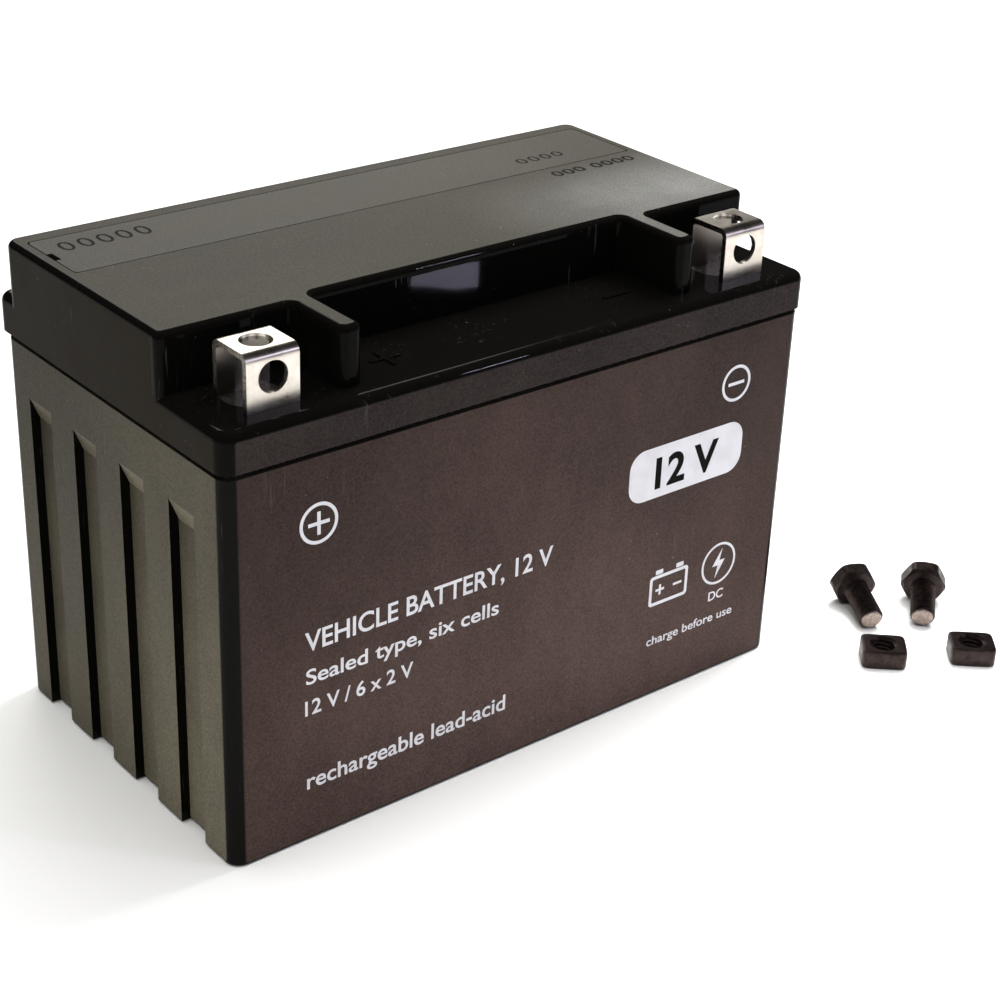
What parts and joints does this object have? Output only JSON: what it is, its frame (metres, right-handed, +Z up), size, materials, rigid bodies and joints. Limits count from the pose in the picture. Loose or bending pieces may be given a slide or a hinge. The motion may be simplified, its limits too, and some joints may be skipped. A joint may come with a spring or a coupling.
{
  "type": "motorcycle battery",
  "caption": "Sealed black motorcycle battery with ribbed ends, recessed folded terminals, a vent strip, gas valves, plate stacks, and loose terminal bolts and nuts.",
  "frame": {"origin": "centre of the base, midway between the ends and between the lid's front and back", "axes": "+X along the length towards the negative terminal, -Y out of the front face that carries the terminals, +Z up"},
  "size_m": [0.2024, 0.1259, 0.108],
  "materials": {
    "case_plastic": "satin moulded black",
    "lid_plastic": "moulded black, satin on top and glossy in the pockets",
    "strip_plastic": "satin moulded black",
    "weld_plastic": "remelted plastic",
    "terminal_nickel": "bright nickel plate on brass",
    "seal_resin": "poured black resin",
    "valve_rubber": "matt rubber",
    "cast_lead": "dull cast lead",
    "positive_paste": "brown lead dioxide paste",
    "negative_paste": "grey sponge lead paste",
    "separator_mat": "gelled glass mat",
    "fastener_steel": "dark oxide"
  },
  "bodies": {
    "battery": {"case": "case_plastic", "case_lid_weld": "weld_plastic", "lid": "lid_plastic", "vent_cover_strip": "strip_plastic", "positive_terminal": "terminal_nickel", "positive_terminal_seal": "seal_resin", "positive_terminal_post": "cast_lead", "negative_terminal": "terminal_nickel", "negative_terminal_seal": "seal_resin", "negative_terminal_post": "cast_lead", "cell_1_positive_plates": "positive_paste", "cell_1_negative_plates": "negative_paste", "cell_1_separators": "separator_mat", "cell_1_positive_strap": "cast_lead", "cell_1_negative_strap": "cast_lead", "cell_2_positive_plates": "positive_paste", "cell_2_negative_plates": "negative_paste", "cell_2_separators": "separator_mat", "cell_2_positive_strap": "cast_lead", "cell_2_negative_strap": "cast_lead", "cell_3_positive_plates": "positive_paste", "cell_3_negative_plates": "negative_paste", "cell_3_separators": "separator_mat", "cell_3_positive_strap": "cast_lead", "cell_3_negative_strap": "cast_lead", "cell_4_positive_plates": "positive_paste", "cell_4_negative_plates": "negative_paste", "cell_4_separators": "separator_mat", "cell_4_positive_strap": "cast_lead", "cell_4_negative_strap": "cast_lead", "cell_5_positive_plates": "positive_paste", "cell_5_negative_plates": "negative_paste", "cell_5_separators": "separator_mat", "cell_5_positive_strap": "cast_lead", "cell_5_negative_strap": "cast_lead", "cell_6_positive_plates": "positive_paste", "cell_6_negative_plates": "negative_paste", "cell_6_separators": "separator_mat", "cell_6_positive_strap": "cast_lead", "cell_6_negative_strap": "cast_lead", "intercell_connector_1": "cast_lead", "intercell_connector_2": "cast_lead", "intercell_connector_3": "cast_lead", "intercell_connector_4": "cast_lead", "intercell_connector_5": "cast_lead"},
    "valve_cap_1": {"vent_valve_cap_1": "valve_rubber"},
    "valve_cap_2": {"vent_valve_cap_2": "valve_rubber"},
    "valve_cap_3": {"vent_valve_cap_3": "valve_rubber"},
    "valve_cap_4": {"vent_valve_cap_4": "valve_rubber"},
    "valve_cap_5": {"vent_valve_cap_5": "valve_rubber"},
    "valve_cap_6": {"vent_valve_cap_6": "valve_rubber"},
    "bolt_1": {"terminal_bolt_1": "fastener_steel"},
    "bolt_2": {"terminal_bolt_2": "fastener_steel"},
    "nut_1": {"terminal_nut_1": "fastener_steel"},
    "nut_2": {"terminal_nut_2": "fastener_steel"}
  },
  "joints": [
    {"name": "valve_lift_1", "type": "slide", "parent": "battery", "child": "valve_cap_1", "axis": [0, 0, 1], "range_m": [0, 0.0008], "stiffness_N_per_m": 600, "springref_m": -0.0004},
    {"name": "valve_lift_2", "type": "slide", "parent": "battery", "child": "valve_cap_2", "axis": [0, 0, 1], "range_m": [0, 0.0008], "stiffness_N_per_m": 600, "springref_m": -0.0004},
    {"name": "valve_lift_3", "type": "slide", "parent": "battery", "child": "valve_cap_3", "axis": [0, 0, 1], "range_m": [0, 0.0008], "stiffness_N_per_m": 600, "springref_m": -0.0004},
    {"name": "valve_lift_4", "type": "slide", "parent": "battery", "child": "valve_cap_4", "axis": [0, 0, 1], "range_m": [0, 0.0008], "stiffness_N_per_m": 600, "springref_m": -0.0004},
    {"name": "valve_lift_5", "type": "slide", "parent": "battery", "child": "valve_cap_5", "axis": [0, 0, 1], "range_m": [0, 0.0008], "stiffness_N_per_m": 600, "springref_m": -0.0004},
    {"name": "valve_lift_6", "type": "slide", "parent": "battery", "child": "valve_cap_6", "axis": [0, 0, 1], "range_m": [0, 0.0008], "stiffness_N_per_m": 600, "springref_m": -0.0004},
    {"name": "bolt_1_lift", "type": "slide", "parent": "battery", "child": "bolt_1", "axis": [0, 0, 1], "range_m": [0, 0.03]},
    {"name": "bolt_2_lift", "type": "slide", "parent": "battery", "child": "bolt_2", "axis": [0, 0, 1], "range_m": [0, 0.03]},
    {"name": "nut_1_lift", "type": "slide", "parent": "battery", "child": "nut_1", "axis": [0, 0, 1], "range_m": [0, 0.03]},
    {"name": "nut_2_lift", "type": "slide", "parent": "battery", "child": "nut_2", "axis": [0, 0, 1], "range_m": [0, 0.03]}
  ]
}
